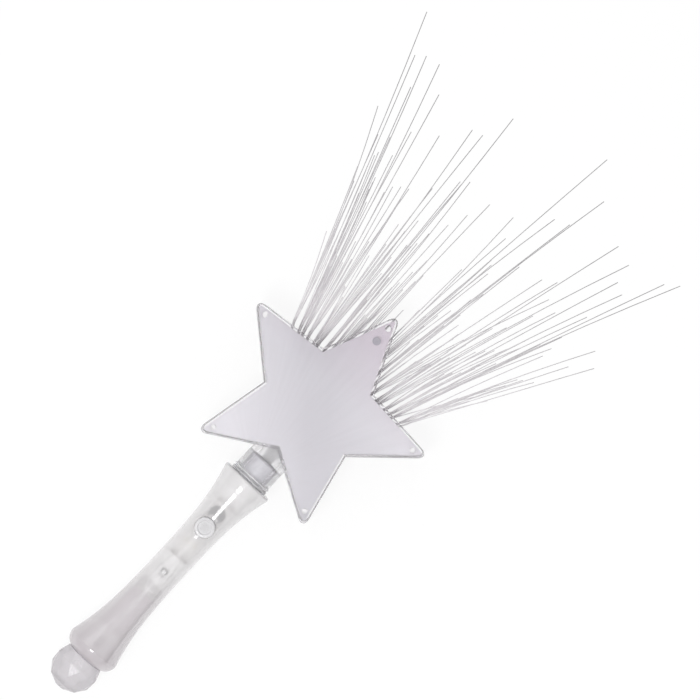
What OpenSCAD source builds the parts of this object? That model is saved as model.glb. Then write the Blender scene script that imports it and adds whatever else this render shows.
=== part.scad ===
// Light-up star wand: a hollow hourglass handle in two halves with its battery, switch and LEDs,
// a clear neck, a hollow star head and a spray of optical fibres that the LEDs shine into.
// The wand is drawn upright, with the foot of its handle at zero and its front towards -Y.
// It is then laid on its back, so its axis runs along +Y and its front faces +Z.

/* [Handle] */
// Length of the handle from its foot to its mouth
handle_len = 115.4; // [108:0.2:130]
// Largest diameter of the lower flare
foot_d = 27.7; // [26:0.1:32]
// Height of the widest point of the lower flare
foot_rise = 6.2; // [5:0.1:8]
// How far the rounded foot draws in
foot_round = 5.8; // [3:0.1:6.5]
// Smallest diameter, at the waist
waist_d = 17.1; // [16.8:0.1:20]
// Height of the waist as a share of the handle
waist_share = 0.572; // [0.52:0.004:0.62]
// Largest diameter of the upper flare
mouth_d = 27.2; // [26:0.1:32]
// Corner radius round the mouth
mouth_round = 1.2; // [0.6:0.1:1.6]
// Wall of the handle
handle_wall = 1.3; // [1:0.05:1.5]
// Thickness of the floor that holds the ball
floor_t = 3; // [2:0.1:4]
// Thickness of the lid round the neck
lid_t = 2.2; // [1.6:0.1:3]

/* [Button and switch] */
// Distance of the button below the mouth
button_drop = 30.2; // [28:0.2:34]
// Diameter of the button
button_d = 10; // [8:0.1:11]
// How far the button stands out of the handle
button_proud = 1.3; // [1:0.1:2.5]
// How far the button can be pressed
button_travel = 0.8; // [0.4:0.1:0.9]
// Width of the raised rim of the button
button_rim = 1.9; // [1:0.1:2.4]
// Depth of the dish inside that rim
button_dish = 0.5; // [0.2:0.1:0.8]
// Dimples in the dish
dimple_count = 5; // [3:1:8]
// Side of the square switch body
switch_w = 6; // [5:0.1:7]
// Height of the switch body
switch_h = 3.4; // [2.6:0.1:3.6]
// Diameter of the switch plunger
plunger_d = 3.4; // [2.5:0.1:3.8]

/* [Circuit board] */
// Width of the board
board_w = 10; // [8:0.1:11]
// Length of the board above the button
board_above = 16.3; // [15:0.1:17]
// Thickness of the board
board_t = 1.2; // [0.8:0.1:1.6]
// Diameter of the black blob over the chip
blob_d = 8.4; // [6:0.1:9]
// Height of that blob
blob_h = 1.9; // [1:0.1:2.4]

/* [Battery] */
// Diameter of a button cell
cell_d = 11.6; // [10:0.1:11.8]
// Height of a button cell
cell_h = 5.4; // [4:0.1:5.6]
// Cells in the stack
cell_count = 3; // [2:1:3]
// Height of the lower end of the battery tray
tray_rise = 18; // [16.5:0.1:19]
// Wall of the battery tray
tray_wall = 0.8; // [0.6:0.05:0.9]
// Half width of the battery door
door_half_w = 6.35; // [6:0.05:6.5]
// Diameter of the wires
wire_d = 0.8; // [0.5:0.05:0.9]

/* [Neck] */
// Outer diameter of the clear neck tube
neck_d = 20.2; // [18.5:0.1:20.4]
// Wall of the neck tube
neck_wall = 2; // [1.5:0.1:2.4]
// Length of the neck above the handle
neck_len = 24; // [22.5:0.1:26]
// Height of the bead where the neck leaves the handle
bead_h = 2; // [1:0.1:3]
// How far the bead stands out of the neck
bead_proud = 0.3; // [0.2:0.1:0.8]

/* [Star] */
// Distance of the tips from the star's middle
star_r = 56.2; // [50:0.1:60]
// Angle between the two edges of a point
point_angle = 47.2; // [44:0.2:54]
// Radius of the rounded tips
tip_round = 2.4; // [1.8:0.1:3]
// Thickness of the star
star_t = 24.8; // [24.6:0.1:27]
// Wall of the star
star_wall = 1.2; // [1:0.05:1.4]
// Height of the star's middle above the handle
star_rise = 48.6; // [47:0.1:52]
// Diameter of the pegs near the tips
peg_d = 2.4; // [2:0.1:2.6]
// Thickness of the satin inserts
film_t = 0.5; // [0.3:0.05:0.8]
// Gap between an insert and the star's wall
film_gap = 0.3; // [0.2:0.1:0.6]

/* [Fibres] */
// Thickness of a fibre
fibre_d = 0.4; // [0.3:0.01:0.44]
// Fibres in a tuft
fibres_per_tuft = 4; // [2:1:4]
// Half width of the spray at its widest tips
spray_half_w = 89; // [70:0.5:110]
// Height of the longest fibre above the star's middle
spray_top = 180.6; // [120:0.2:220]
// Half width of the spray where it leaves the star
root_half_w = 37.4; // [32:0.1:38]
// Distance between fibres in the bundle
bundle_pitch = 0.52; // [0.5:0.01:0.56]
// Distance between layers of fibres where they leave the star
root_pitch = 0.7; // [0.55:0.01:0.75]
// Distance between layers of fibres at the tips
tip_pitch = 1.5; // [0.8:0.05:1.8]

/* [Ball] */
// Diameter of the faceted ball
ball_d = 24; // [21:0.1:26]
// Depth of the ball's middle below the foot
ball_drop = 6.9; // [5.5:0.1:8]
// Facets round the ball
facet_count = 12; // [8:1:12]
// Rows of facets
facet_rows = 4; // [3:1:5]
// Diameter of the stem that holds the ball
stem_d = 7; // [5:0.1:8]

/* [Fits] */
// Gap between fixed pieces
fit = 0.2; // [0.1:0.05:0.25]
// Gap between a moving piece and its neighbour
run_gap = 0.25; // [0.15:0.05:0.3]
// Gap between a resting piece and its stop
rest_gap = 0.3; // [0.2:0.05:0.35]

/* [Hidden] */
$fn = 72;

// Overrun of every cut past the face that it leaves
overrun = 1;
// Overlap of a rib or boss with the wall that it grows from
root_share = 0.5;

// Handle profile: how sharply each flare opens, and the steps that draw it
foot_curve_share = 3.3;
mouth_curve_share = 2.8;
flare_steps = 14;
arc_steps = 6;
// Steps lie closer together where a flare is steep
step_crowd_share = 1.5;
flare_top = handle_len - mouth_round;
waist_rise = handle_len * waist_share;
button_rise = handle_len - button_drop;
ceiling = handle_len - lid_t;

// Screws of the handle and of the door
screw_d = 2;
screw_head_d = 3.9;
screw_head_h = 1.5;
pilot_gap = 0.05;
boss_d = 5.2;
foot_screw_rise = 11;
handle_screw_seat = 5.2;
handle_screw_depth = 4.6;
slot_w = 0.6;
slot_depth = 0.5;

// Battery tray: end walls and the room that the contacts take
tray_end = 1.6;
contact_t = 0.4;
leaf_rise = 2.6;
nub_rise = 1.2;
tray_bore_r = cell_d / 2 + fit;
tray_r = tray_bore_r + tray_wall;
tray_lip = 1;
stack_low = tray_rise + tray_end + contact_t + leaf_rise;
stack_high = stack_low + cell_count * cell_h;
tray_top = stack_high + nub_rise + contact_t + tray_end;
terminal_share = 0.86;
can_share = 0.85;
cell_gap = 0.1;
contact_share = 0.86;
tab_x = 4.4;
tab_w = 1.6;
tab_high = 4.3;
tray_rib_t = 1.4;

// Battery door and the rebate that it lies in
door_low = tray_rise - rest_gap;
door_shelf = tray_top + rest_gap;
door_screw_rise = door_shelf + boss_d / 2 + fit;
door_high = door_screw_rise + boss_d / 2 + fit;
ledge_w = 1.1;
ledge_t = 1.1;
door_pad_d = 6;
door_pad_t = 1.4;
door_screw_len = 4.6;

// Between the door and the button, the waist screw and then the board's lower end
waist_screw_share = 0.21;
board_low_share = 0.45;
waist_screw_rise = lerp(door_high, button_rise, waist_screw_share);

// Board, and the ribs that clamp it
board_low = lerp(door_high, button_rise, board_low_share);
board_high = button_rise + board_above;
rib_t = 1.2;
rib_inset = 1;
blob_rise = 8;
resistor_l = 2;
resistor_w = 1.25;
resistor_h = 0.55;
resistor_pitch = 2.6;
resistor_rise = (board_low + rib_inset + rib_t + button_rise - switch_w / 2 - resistor_l) / 2;
pass_d = 4;
pass_drop = 4.4;

// Button: its ears under the handle's wall, and its post on the plunger
ear_reach = 1.3;
ear_w = 5;
ear_t = 1;
dimple_d = 0.9;
dimple_depth = 0.25;
dimple_ring_share = 0.58;
rim_round = 0.6;
post_d = 3.6;
plunger_proud = button_travel + run_gap;
plunger_sunk = 1.2;
plunger_top = switch_h + plunger_proud;

// Neck, with a flange inside the mouth and a bead outside
neck_bore_r = neck_d / 2 - neck_wall;
neck_tail = 7.4;
neck_low = handle_len - neck_tail;
flange_proud = 0.7;
flange_t = 2;
flange_high = ceiling - rest_gap;
neck_top = handle_len + neck_len;
bead_steps = 8;

// LED holder, LEDs and the collar above them
holder_flange_t = 1;
holder_flange_d = neck_d - neck_wall * root_share;
holder_low = neck_low - holder_flange_t;
holder_plug_h = 5;
holder_top = neck_low + holder_plug_h;
led_count = 3;
led_d = 3;
led_ring_r = 2.6;
led_h = 6;
led_foot_d = 3.8;
led_foot_t = 0.9;
lead_d = 0.5;
lead_len = 2;
lead_pitch = 1.27;
seat_rib_t = 1.2;
seat_bore_d = 14;
collar_h = 15;
collar_high = holder_top + collar_h;
collar_well_d = 11;
collar_well_h = 3;
collar_mouth = 1;
potting_t = 3.5;

// Star outline: a point's half angle, its sharp tip and the notches follow from the driving sizes
star_points = 5;
star_turn_angle = 360 / star_points;
point_half_angle = point_angle / 2;
sharp_r = star_r - tip_round + tip_round / sin(point_half_angle);
notch_share = sin(point_half_angle) / sin(point_half_angle + star_turn_angle / 2);
least_round_share = 0.2;
tip_steps = 8;
star_z = handle_len + star_rise;
half_t = star_t / 2;
peg_inset = 5.8;
peg_ring_r = star_r - peg_inset;
spigot_d = 1.4;
spigot_h = 3;
socket_d = 2.8;
gate_inset = 14;
gate_ring_r = star_r - gate_inset;
gate_d = 4;
gate_depth = 0.3;
stop_t = 1.2;
// The inserts' inner faces, which pass in front of and behind the neck
film_depth = half_t - star_wall - film_gap * root_share - film_t;

// Fan slot in the star's upper walls: its two sides, measured from the star's axis at the neck
slot_from_angle = 2;
slot_to_angle = 41;
slot_reach_share = 2;
// Room for the layers, which open out a little before the top point's edges
slot_room_share = 1.35;

// Tufts of fibres from left to right: root and tip across, tip along, as shares of the spray
tuft_shares = [
    [-0.95, -0.85, 0.65], [-0.92, -1.00, 0.96], [-0.89, -0.89, 0.84],
    [-0.85, -0.84, 0.86], [-0.81, -0.79, 0.76], [-0.77, -0.76, 0.87],
    [-0.72, -0.65, 0.80], [-0.67, -0.50, 0.71], [-0.60, -0.42, 0.49],
    [-0.57, -0.39, 0.79], [-0.52, -0.33, 0.80], [-0.44, -0.27, 0.90],
    [-0.40, -0.25, 0.65], [-0.36, -0.21, 0.67], [-0.28, -0.14, 0.53],
    [-0.23, -0.10, 0.59], [-0.17, -0.05, 0.66], [0.09, 0.09, 0.68],
    [0.13, 0.25, 1.00], [0.18, 0.26, 0.76], [0.24, 0.34, 0.78],
    [0.32, 0.39, 0.90], [0.40, 0.43, 0.60], [0.46, 0.53, 0.57],
    [0.54, 0.61, 0.83], [0.60, 0.72, 0.81], [0.68, 0.74, 0.75],
    [0.75, 0.80, 0.73], [0.82, 0.93, 0.84], [0.87, 1.00, 0.87],
    [0.91, 0.85, 0.46], [0.95, 0.90, 0.55], [0.99, 0.96, 0.51],
];
// Each fibre of a tuft has its own reach, lean and side step, as shares of the tuft's
reach_shares = [1, 0.64, 0.46, 0.3];
lean_shares = [1, 0.93, 1.06, 0.88];
step_shares = [0, 0.014, -0.012, 0.006];
// How much a fibre's reach varies, and how far a fibre bows
reach_spread_share = 0.4;
bow_share = 0.1;
golden_share = 0.618034;
weave_count = 3;
tuft_count = len(tuft_shares);
column_count = tuft_count / weave_count;
layer_count = weave_count * fibres_per_tuft;
fibre_sides = 4;
bend_shares = [1 / 3, 2 / 3, 1];
free_shares = [0.5, 1];
fibre_low = holder_top + collar_well_h + potting_t / 2;
root_rise_share = 0.815;
root_z = star_z + root_rise_share * sharp_r * notch_share;
tip_z = star_z + spray_top;
potting_r = norm([column_count, layer_count]) * bundle_pitch / 2 + fit;
slot_half = layer_count * root_pitch * slot_room_share / 2;

// Ball: the row of facet corners under the foot, and the small table at the bottom
seat_angle = asin(2 * ball_drop / ball_d);
table_angle = -78;
stem_flange_d = 11;
stem_flange_t = 1.6;

// Wires run along the wand, and the corners of their sections are level with the foot
wire_sides = 8;
wire_pass_x = 3.9;
wire_pass_y = 3;
wire_pad_x = 2.6;
// Where a wire bends on its way to the board, and how far it has moved over there
wire_bend_share = 0.5;
wire_sway_share = 0.4;
led_wire_share = 0.35;

wand_low = -ball_drop + ball_d / 2 * sin(table_angle);
wand_high = tip_z;

function lerp(a, b, t) = a + (b - a) * t;
function frac(v) = v - floor(v);
// Other leg of a right triangle
function leg(long, short) = sqrt(max(long * long - short * short, 0));

// Outer radius of the handle at a height
function flare_r(z) =
    z < foot_rise
        ? foot_d / 2 - foot_round * (1 - leg(1, (foot_rise - z) / foot_rise))
        : z < waist_rise
            ? waist_d / 2 + (foot_d - waist_d) / 2
                * pow((waist_rise - z) / (waist_rise - foot_rise), foot_curve_share)
            : waist_d / 2 + (mouth_d - waist_d) / 2
                * pow((z - waist_rise) / (flare_top - waist_rise), mouth_curve_share);

function cavity_r(z) = flare_r(z) - handle_wall;

function crowd(i) = pow(i / flare_steps, step_crowd_share);

flare_heights = concat(
    [for (i = [0 : flare_steps]) lerp(foot_rise, waist_rise, crowd(i))],
    [for (i = [flare_steps - 1 : -1 : 0]) lerp(flare_top, waist_rise, crowd(i))]
);

// Outline of the handle's outside, from the foot up
handle_outline = concat(
    [for (i = [0 : arc_steps - 1]) let (a = 90 * i / arc_steps)
        [foot_d / 2 - foot_round * (1 - sin(a)), foot_rise * (1 - cos(a))]],
    [for (z = flare_heights) [flare_r(z), z]],
    [for (i = [1 : arc_steps]) let (a = 90 * i / arc_steps)
        [mouth_d / 2 - mouth_round * (1 - cos(a)), flare_top + mouth_round * sin(a)]]
);

// Heights at which a band of the handle between two heights is drawn
function band_heights(low, high) =
    concat([low], [for (z = flare_heights) if (z > low && z < high) z], [high]);

// Outline of a band that follows the handle's outside at two depths
function band_outline(low, high, outer_depth, inner_depth) =
    let (heights = band_heights(low, high), last = len(heights) - 1)
    concat(
        [for (z = heights) [flare_r(z) - outer_depth, z]],
        [for (i = [last : -1 : 0]) [flare_r(heights[i]) - inner_depth, heights[i]]]
    );

// Section of the handle's wall, with the ball's hole in its floor and the neck's hole in its lid
wall_outline = concat(
    [[stem_d / 2 + fit, 0]],
    handle_outline,
    [[neck_d / 2 + fit, handle_len], [neck_d / 2 + fit, ceiling]],
    let (heights = band_heights(floor_t, ceiling), last = len(heights) - 1)
        [for (i = [last : -1 : 0]) [cavity_r(heights[i]), heights[i]]],
    [[stem_d / 2 + fit, floor_t]]
);

// Cup in the rear half that the door's screw pad sinks into
door_cup_d = door_pad_d + 2 * fit + 2 * ledge_t;
door_cup_low = cavity_r(door_screw_rise) - door_pad_t - fit - ledge_t;

// Star outline drawn in from the star's edge
function star_outline(inset) =
    let (
        sharp = sharp_r - inset / sin(point_half_angle),
        corner = max(tip_round - inset, tip_round * least_round_share),
        centre = sharp - corner / sin(point_half_angle),
        sweep = 90 - point_half_angle
    )
    [for (i = [0 : star_points - 1]) let (mid = 90 + i * star_turn_angle) each concat(
        [for (j = [0 : tip_steps]) let (a = mid + lerp(-sweep, sweep, j / tip_steps))
            centre * [cos(mid), sin(mid)] + corner * [cos(a), sin(a)]],
        [sharp * notch_share * [cos(mid + star_turn_angle / 2), sin(mid + star_turn_angle / 2)]]
    )];

// Corners of a tube along a route, one level ring for each of its points
function tube_points(route, d, sides) =
    [for (p = route, i = [0 : sides - 1])
        p + d / 2 * [cos(360 * i / sides), sin(360 * i / sides), 0]];

// Triangles of that tube, whose corners start at first
function tube_faces(rings, sides, first) = concat(
    [for (k = [0 : rings - 2], i = [0 : sides - 1])
        let (a = first + k * sides + i, b = first + k * sides + (i + 1) % sides)
        each [[a, a + sides, b], [b, a + sides, b + sides]]],
    [for (i = [1 : sides - 2]) [first, first + i, first + i + 1]],
    let (last = first + (rings - 1) * sides)
        [for (i = [1 : sides - 2]) [last, last + i + 1, last + i]]
);

// Route of one fibre: up through the collar, out to its root at the star's edge, and on to its tip
function fibre_route(tuft, k) =
    let (
        chance = frac((tuft * fibres_per_tuft + k) * golden_share),
        layer = weave_count * k + tuft % weave_count - (layer_count - 1) / 2,
        column = floor(tuft / weave_count) - (column_count - 1) / 2,
        reach = k == 0 ? 1 : reach_shares[k] * (1 + reach_spread_share * (chance - 1 / 2)),
        root = [(tuft_shares[tuft][0] + step_shares[k]) * root_half_w, layer * root_pitch, root_z],
        lean = tuft_shares[tuft][1] * spray_half_w - tuft_shares[tuft][0] * root_half_w,
        run = [
            lean * lean_shares[k] * reach,
            layer * (tip_pitch - root_pitch) * reach,
            tuft_shares[tuft][2] * (tip_z - root_z) * reach
        ],
        start = [column * bundle_pitch, layer * bundle_pitch, collar_high],
        slope = (root_z - collar_high) / run[2] * [run[0] * (1 - bow_share), run[1]]
    )
    concat(
        [[start[0], start[1], fibre_low], start],
        [for (t = bend_shares) let (ease = 3 * t * t - 2 * t * t * t, pull = t * t * t - t * t) [
            lerp(start[0], root[0], ease) + slope[0] * pull,
            lerp(start[1], root[1], ease) + slope[1] * pull,
            lerp(start[2], root[2], t)
        ]],
        [for (u = free_shares)
            root + [run[0] * lerp(u, u * u, bow_share), run[1] * u, run[2] * u]]
    );

// Laying the wand down: its axis turns to +Y and its front to +Z
module lay_down() {
    translate([0, -(wand_low + wand_high) / 2, foot_d / 2])
        rotate([-90, 0, 0])
            children();
}

// Half turn of a profile: the rear half, or the front half
module rear_half() {
    rotate_extrude(angle = 180)
        children();
}

module front_half() {
    rotate([0, 0, 180])
        rear_half()
            children();
}

// Places a shape at a height of the axis, with its own Z pointing out of the front or the rear
module facing_front(z) {
    translate([0, 0, z])
        rotate([90, 0, 0])
            children();
}

module facing_rear(z) {
    translate([0, 0, z])
        rotate([-90, 0, 0])
            children();
}

// Profile of a rib between two heights that is rooted in the handle's wall
module rib_profile(low, t, bore_r = 0) {
    reach = min(cavity_r(low), cavity_r(low + t)) + handle_wall * root_share;
    translate([bore_r, low])
        square([reach - bore_r, t]);
}

// Boss from the split plane, out to a depth in the handle's wall
module boss(z) {
    cylinder(d = boss_d, h = flare_r(z) - handle_wall * root_share);
}

module screw(shank_len) {
    difference() {
        union() {
            cylinder(d = screw_head_d, h = screw_head_h);
            translate([0, 0, -shank_len])
                cylinder(d = screw_d, h = shank_len + overrun);
        }
        for (turn = [0, 90])
            rotate([0, 0, turn])
                translate([-screw_head_d * root_share / 2, -slot_w / 2, screw_head_h - slot_depth])
                    cube([screw_head_d * root_share, slot_w, slot_depth + overrun]);
    }
}

module handle_front_shell() {
    color("gainsboro")
        lay_down()
            difference() {
                union() {
                    front_half()
                        polygon(wall_outline);
                    for (z = [board_low + rib_inset, board_high - rib_inset - rib_t])
                        front_half()
                            rib_profile(z, rib_t);
                    for (z = [tray_rise + tray_end, tray_top - tray_end - tray_rib_t])
                        front_half()
                            rib_profile(z, tray_rib_t, tray_r + fit);
                    front_half()
                        rib_profile(holder_low - fit - seat_rib_t, seat_rib_t, seat_bore_d / 2);
                    for (z = [foot_screw_rise, waist_screw_rise])
                        facing_front(z)
                            boss(z);
                }
                for (z = [foot_screw_rise, waist_screw_rise])
                    facing_front(z)
                        translate([0, 0, -overrun])
                            cylinder(
                                d = screw_d + 2 * pilot_gap,
                                h = handle_screw_depth + rest_gap + overrun
                            );
                facing_front(button_rise)
                    translate([0, 0, plunger_top])
                        cylinder(d = button_d + 2 * run_gap, h = foot_d);
                translate([0, -pass_drop, board_low])
                    cylinder(d = pass_d, h = board_high - board_low);
            }
}

// Everything of the handle outside a depth, between the door's edges
module door_block(low, high, half_w, depth) {
    intersection() {
        rear_half()
            polygon(band_outline(low, high, -overrun, depth));
        translate([-half_w, 0, low])
            cube([2 * half_w, foot_d, high - low]);
    }
}

module handle_rear_shell() {
    window_half = door_half_w + fit - ledge_w;
    color("gainsboro")
        lay_down()
            difference() {
                union() {
                    rear_half()
                        polygon(wall_outline);
                    intersection() {
                        rear_half()
                            polygon(band_outline(door_low - ledge_w - fit, door_high + ledge_w + fit,
                                handle_wall * root_share, handle_wall + ledge_t));
                        translate([-foot_d / 2, cavity_r(door_high) * root_share / 2, 0])
                            cube([foot_d, foot_d, handle_len]);
                    }
                    facing_rear(door_screw_rise) {
                        cylinder(d = boss_d, h = door_cup_low + ledge_t);
                        translate([0, 0, door_cup_low])
                            cylinder(d = door_cup_d, h = cavity_r(door_screw_rise) - door_cup_low);
                    }
                    for (z = [board_low + rib_inset, board_high - rib_inset - rib_t])
                        rear_half()
                            rib_profile(z, rib_t);
                    rear_half()
                        rib_profile(holder_low - fit - seat_rib_t, seat_rib_t, seat_bore_d / 2);
                    for (z = [foot_screw_rise, waist_screw_rise])
                        facing_rear(z)
                            boss(z);
                }
                // Rebate for the door, and the window inside its ledge
                door_block(door_low - fit, door_high + fit, door_half_w + fit, handle_wall);
                translate([-window_half, 0, door_low + ledge_w])
                    cube([2 * window_half, foot_d, door_shelf - door_low - ledge_w]);
                facing_rear(door_screw_rise) {
                    translate([0, 0, cavity_r(door_screw_rise) - door_pad_t - fit])
                        cylinder(d = door_pad_d + 2 * fit, h = foot_d);
                    translate([0, 0, cavity_r(door_screw_rise) - door_pad_t - door_screw_len - rest_gap])
                        cylinder(d = screw_d + 2 * pilot_gap, h = foot_d);
                }
                // Notch for the board, and holes for the handle's screws
                translate([-board_w / 2 - fit, -overrun, board_low])
                    cube([board_w + 2 * fit, board_t + overrun, board_high - board_low]);
                for (z = [foot_screw_rise, waist_screw_rise])
                    facing_rear(z) {
                        translate([0, 0, -overrun])
                            cylinder(d = screw_d + 2 * fit, h = foot_d);
                        translate([0, 0, handle_screw_seat])
                            cylinder(d = screw_head_d + 2 * fit, h = foot_d);
                    }
            }
}

module handle_screws() {
    color("silver")
        lay_down()
            for (z = [foot_screw_rise, waist_screw_rise])
                facing_rear(z)
                    translate([0, 0, handle_screw_seat])
                        screw(handle_screw_seat + handle_screw_depth);
}

module battery_door() {
    color("gainsboro")
        lay_down()
            difference() {
                intersection() {
                    union() {
                        intersection() {
                            rear_half()
                                polygon(band_outline(door_low, door_high, 0, handle_wall - rest_gap));
                            translate([-door_half_w, 0, door_low])
                                cube([2 * door_half_w, foot_d, door_high - door_low]);
                        }
                        facing_rear(door_screw_rise)
                            translate([0, 0, cavity_r(door_screw_rise) - door_pad_t])
                                cylinder(d = door_pad_d - fit, h = door_pad_t + handle_wall * root_share);
                    }
                    rear_half()
                        polygon(concat([[0, 0]], handle_outline, [[0, handle_len]]));
                }
                facing_rear(door_screw_rise) {
                    translate([0, 0, -overrun])
                        cylinder(d = screw_d + 2 * fit, h = foot_d);
                    translate([0, 0, cavity_r(door_screw_rise)])
                        cylinder(d = screw_head_d + 2 * fit, h = foot_d);
                }
            }
}

module battery_door_screw() {
    color("silver")
        lay_down()
            facing_rear(door_screw_rise)
                translate([0, 0, cavity_r(door_screw_rise)])
                    screw(door_pad_t + door_screw_len);
}

// Section of the tray: a trough that opens to the rear
module trough(r) {
    circle(r);
    translate([-r, 0])
        square([2 * r, tray_lip]);
}

module battery_tray() {
    color("darkgray")
        lay_down()
            difference() {
                translate([0, 0, tray_rise])
                    linear_extrude(tray_top - tray_rise)
                        intersection() {
                            trough(tray_r);
                            translate([-tray_r, -tray_r])
                                square([2 * tray_r, tray_r + tray_lip]);
                        }
                translate([0, 0, tray_rise + tray_end])
                    linear_extrude(tray_top - tray_rise - 2 * tray_end) {
                        circle(tray_bore_r);
                        translate([-tray_bore_r, 0])
                            square([2 * tray_bore_r, tray_r]);
                    }
            }
}

module button_cells() {
    color("silver")
        lay_down()
            for (i = [0 : cell_count - 1])
                translate([0, 0, stack_low + i * cell_h]) {
                    cylinder(d = cell_d * terminal_share, h = cell_h - cell_gap);
                    translate([0, 0, cell_h * (1 - can_share)])
                        cylinder(d = cell_d, h = cell_h * can_share - cell_gap);
                }
}

// Contact plate with a spring part towards the cells and a tab for its wire
module contact(side) {
    cylinder(d = cell_d * contact_share, h = contact_t);
    translate([side * tab_x - tab_w / 2, 0, 0])
        cube([tab_w, tab_high, contact_t]);
}

module negative_contact() {
    color("goldenrod")
        lay_down()
            translate([0, 0, tray_rise + tray_end]) {
                contact(1);
                translate([0, 0, contact_t * root_share])
                    cylinder(d1 = cell_d * contact_share * root_share, d2 = stem_d * root_share,
                        h = leaf_rise);
            }
}

module positive_contact() {
    color("goldenrod")
        lay_down()
            translate([0, 0, tray_top - tray_end])
                mirror([0, 0, 1]) {
                    contact(-1);
                    translate([0, 0, contact_t * root_share])
                        cylinder(d1 = stem_d, d2 = stem_d * root_share, h = nub_rise);
                }
}

// Wire along a route of points
module wire(route) {
    polyhedron(
        tube_points(route, wire_d, wire_sides),
        tube_faces(len(route), wire_sides, 0)
    );
}

// Points that a battery wire passes: its tab, beside the cells, past the bosses, and the board's end
function battery_wire_route(side, from) =
    let (tab_y = tab_high + wire_d / 2, pad_y = board_t / 2)
    concat(
        [for (z = [from, stack_high]) if (z >= from) [side * tab_x, tab_y, z]],
        [for (z = [door_shelf, waist_screw_rise]) [side * wire_pass_x, wire_pass_y, z]],
        [
            [
                side * lerp(wire_pass_x, wire_pad_x, wire_sway_share),
                lerp(wire_pass_y, pad_y, wire_sway_share),
                lerp(waist_screw_rise, board_low, wire_bend_share)
            ],
            [side * wire_pad_x, pad_y, board_low],
        ]
    );

module positive_wire() {
    color("white")
        lay_down()
            wire(battery_wire_route(-1, tray_top - tray_end));
}

module negative_wire() {
    color("white")
        lay_down()
            wire(battery_wire_route(1, tray_rise + tray_end + contact_t));
}

module circuit_board() {
    color("linen")
        lay_down()
            translate([-board_w / 2, 0, board_low])
                cube([board_w, board_t, board_high - board_low]);
}

module chip_blob() {
    dome_r = (pow(blob_d / 2, 2) + blob_h * blob_h) / (2 * blob_h);
    color("black")
        lay_down()
            facing_front(button_rise + blob_rise)
                intersection() {
                    translate([0, 0, blob_h - dome_r])
                        sphere(dome_r);
                    cylinder(d = blob_d + overrun, h = blob_h + overrun);
                }
}

module resistors() {
    color("dimgray")
        lay_down()
            for (i = [-1 : 1])
                translate([i * resistor_pitch - resistor_w / 2, -resistor_h, resistor_rise])
                    cube([resistor_w, resistor_h, resistor_l]);
}

module switch_body() {
    color("darkslategray")
        lay_down()
            facing_front(button_rise)
                difference() {
                    translate([-switch_w / 2, -switch_w / 2, 0])
                        cube([switch_w, switch_w, switch_h]);
                    translate([0, 0, plunger_sunk])
                        cylinder(d = plunger_d + 2 * run_gap, h = switch_h);
                }
}

module switch_plunger() {
    low = plunger_sunk + button_travel + run_gap;
    color("white")
        lay_down()
            facing_front(button_rise)
                translate([0, 0, low])
                    cylinder(d = plunger_d, h = plunger_top - low);
}

module button_cap() {
    ear_span = button_d / 2 + run_gap + ear_reach;
    ear_top = leg(cavity_r(button_rise - ear_span), ear_w / 2) - rest_gap;
    ear_low = ear_top - ear_t;
    cap_top = flare_r(button_rise) + button_proud;
    dish_r = button_d / 2 - button_rim;
    dish_floor = cap_top - button_dish;
    color("gainsboro")
        lay_down()
            facing_front(button_rise)
                difference() {
                    union() {
                        rotate_extrude()
                            polygon(concat(
                                [[0, ear_low], [button_d / 2, ear_low]],
                                [for (i = [0 : arc_steps]) let (a = 90 * i / arc_steps) [
                                    button_d / 2 - rim_round * (1 - cos(a)),
                                    cap_top - rim_round * (1 - sin(a))
                                ]],
                                [[dish_r + button_dish, cap_top], [dish_r, dish_floor], [0, dish_floor]]
                            ));
                        translate([-ear_w / 2, -ear_span, ear_low])
                            cube([ear_w, 2 * ear_span, ear_t]);
                        translate([0, 0, plunger_top])
                            cylinder(d = post_d, h = ear_low - plunger_top + ear_t);
                    }
                    for (i = [0 : dimple_count - 1])
                        rotate([0, 0, 90 + 360 * i / dimple_count])
                            translate([dish_r * dimple_ring_share, 0, dish_floor - dimple_depth])
                                cylinder(d = dimple_d, h = button_dish + overrun);
                }
}

// LED places round the axis
module at_leds() {
    for (i = [0 : led_count - 1])
        rotate([0, 0, 90 + 360 * i / led_count])
            translate([led_ring_r, 0, 0])
                children();
}

module led_holder() {
    color("white")
        lay_down()
            difference() {
                union() {
                    translate([0, 0, holder_low])
                        cylinder(d = holder_flange_d, h = holder_flange_t);
                    translate([0, 0, holder_low])
                        cylinder(r = neck_bore_r - fit, h = holder_top - holder_low);
                }
                at_leds()
                    translate([0, 0, holder_low - overrun])
                        cylinder(d = led_d + fit, h = holder_top - holder_low + 2 * overrun);
            }
}

module leds() {
    color("mintcream")
        lay_down()
            at_leds()
                translate([0, 0, holder_low]) {
                    translate([0, 0, -led_foot_t])
                        cylinder(d = led_foot_d, h = led_foot_t);
                    translate([0, 0, -led_foot_t])
                        cylinder(d = led_d, h = led_h);
                    translate([0, 0, led_h - led_foot_t])
                        sphere(d = led_d);
                    for (side = [-1, 1])
                        translate([0, side * lead_pitch / 2, -led_foot_t - lead_len])
                            cylinder(d = lead_d, h = lead_len + overrun);
                }
}

// Each LED's wire runs down from its lead to the upper end of the board
module led_wires() {
    lead_end = holder_low - led_foot_t - lead_len;
    color("white")
        lay_down()
            for (i = [0 : led_count - 1])
                let (
                    a = 90 + 360 * i / led_count,
                    lead = led_ring_r * [cos(a), sin(a)] + lead_pitch / 2 * [-sin(a), cos(a)],
                    pad = [lead[0], board_t / 2]
                )
                wire([
                    [pad[0], pad[1], board_high],
                    [
                        lead[0],
                        lerp(pad[1], lead[1], led_wire_share),
                        lerp(board_high, lead_end, led_wire_share)
                    ],
                    [lead[0], lead[1], lead_end],
                ]);
}

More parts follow.
